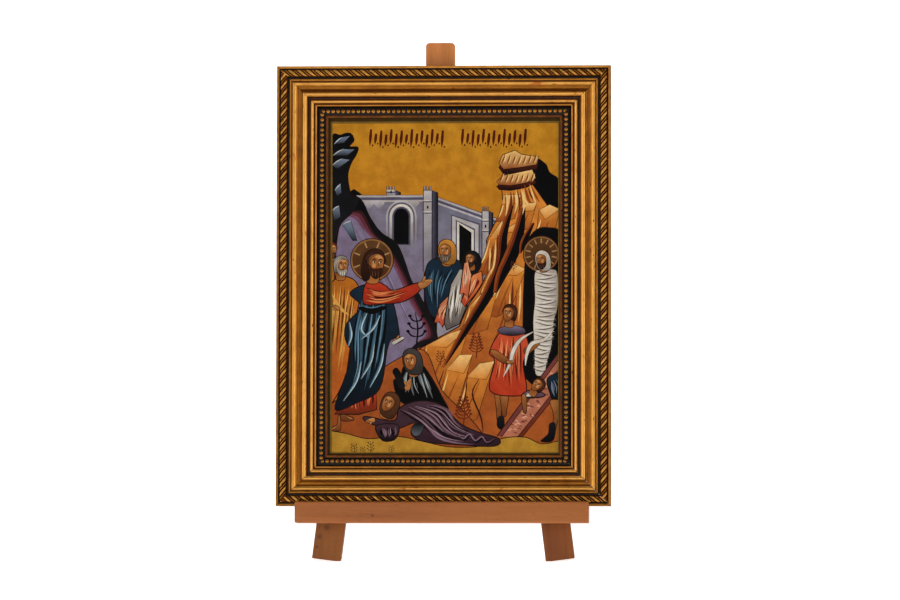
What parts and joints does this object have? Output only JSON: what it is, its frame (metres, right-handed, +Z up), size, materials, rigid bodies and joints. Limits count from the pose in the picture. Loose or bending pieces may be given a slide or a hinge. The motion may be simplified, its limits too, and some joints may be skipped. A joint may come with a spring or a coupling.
{
  "type": "icon panel",
  "caption": "Upright icon print in a mitred gilt moulding with rope and pearl carving, resting on a wooden tabletop easel with a folding back leg.",
  "frame": {"origin": "middle of the part's footprint, at the level of the feet", "axes": "+Z up, the picture faces -Y, +X to the right of someone facing the picture"},
  "size_m": [0.281, 0.225, 0.424],
  "materials": {
    "gilt_moulding": "antique gold leaf look, satin metallic, brown patina in the recesses",
    "icon_print": "satin colour print on board",
    "beech": "smooth oiled beech",
    "brass": "plain brass",
    "steel": "zinc-plated steel"
  },
  "bodies": {
    "easel_and_icon": {"frame_rail_top": "gilt_moulding", "frame_rail_right": "gilt_moulding", "frame_rail_bottom": "gilt_moulding", "frame_rail_left": "gilt_moulding", "icon_board": "icon_print", "retaining_tab_top_1": "steel", "retaining_tab_top_2": "steel", "retaining_tab_right_1": "steel", "retaining_tab_right_2": "steel", "retaining_tab_bottom_1": "steel", "retaining_tab_bottom_2": "steel", "retaining_tab_left_1": "steel", "retaining_tab_left_2": "steel", "easel_mast": "beech", "easel_leg_left": "beech", "easel_leg_right": "beech", "easel_ledge": "beech", "easel_upper_bar": "beech", "easel_lower_bar": "beech", "hinge_leaf_fixed": "brass", "hinge_pin": "brass", "hinge_screw_fixed_1": "brass", "hinge_screw_fixed_2": "brass", "screw_ledge_left": "steel", "screw_ledge_middle": "steel", "screw_ledge_right": "steel", "screw_lower_bar_left": "steel", "screw_lower_bar_middle": "steel", "screw_lower_bar_right": "steel", "screw_upper_bar_left": "steel", "screw_upper_bar_right": "steel"},
    "back_leg": {"easel_back_leg": "beech", "hinge_leaf_moving": "brass", "hinge_screw_moving_1": "brass", "hinge_screw_moving_2": "brass"}
  },
  "joints": [
    {"name": "back_leg_fold", "type": "hinge", "parent": "easel_and_icon", "child": "back_leg", "pos_m": [-0.0008, 0.00587, 0.28474], "axis": [-1, 0, 0], "range_deg": [0, 31.8]}
  ]
}
